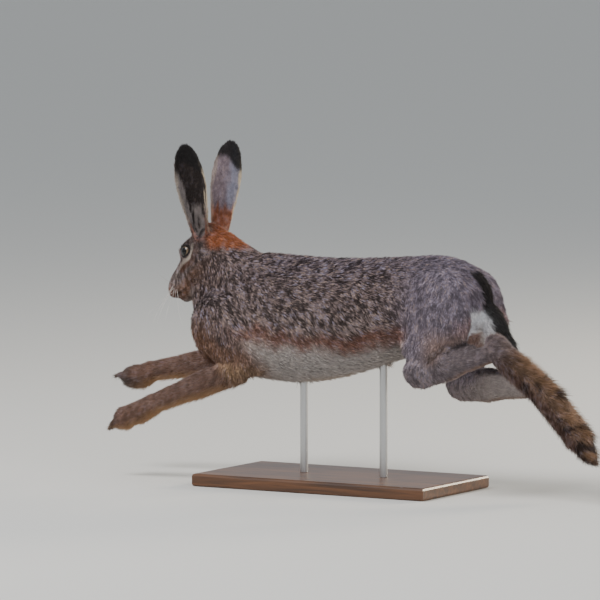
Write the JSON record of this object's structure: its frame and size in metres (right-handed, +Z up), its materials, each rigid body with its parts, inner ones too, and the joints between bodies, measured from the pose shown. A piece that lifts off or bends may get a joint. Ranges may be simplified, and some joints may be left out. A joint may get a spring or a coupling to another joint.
{
  "type": "brown hare display model",
  "caption": "Life-size leaping brown hare with upright ears and outstretched legs, held above a flat base by two slim rods.",
  "frame": {"origin": "centre of the underside of the stand's base, on the floor", "axes": "+Z up, -X the way the hare faces, -Y the hare's left side"},
  "size_m": [0.6995, 0.17, 0.4249],
  "materials": {
    "coat": "short ticked fur, dark and pale hairs mixed",
    "leg_coat": "short reddish-brown fur",
    "ear_coat": "thin short fur over skin, black at the tip",
    "tail_coat": "soft fur, black above and white below",
    "eye": "glossy amber-brown with a dark pupil",
    "stand_rod": "satin steel",
    "stand_base": "dark satin wood"
  },
  "bodies": {
    "root": {"head": "coat", "neck": "coat", "chest": "coat", "loin": "coat", "rump": "coat", "thigh_left": "coat", "thigh_right": "coat", "upper_arm_left": "coat", "upper_arm_right": "coat", "shank_left": "leg_coat", "shank_right": "leg_coat", "hind_foot_left": "leg_coat", "hind_foot_right": "leg_coat", "forearm_left": "leg_coat", "forearm_right": "leg_coat", "forepaw_left": "leg_coat", "forepaw_right": "leg_coat", "ear_left": "ear_coat", "ear_right": "ear_coat", "tail": "tail_coat", "eye_left": "eye", "eye_right": "eye", "stand_rod_front": "stand_rod", "stand_rod_rear": "stand_rod", "stand_base": "stand_base"}
  },
  "joints": []
}
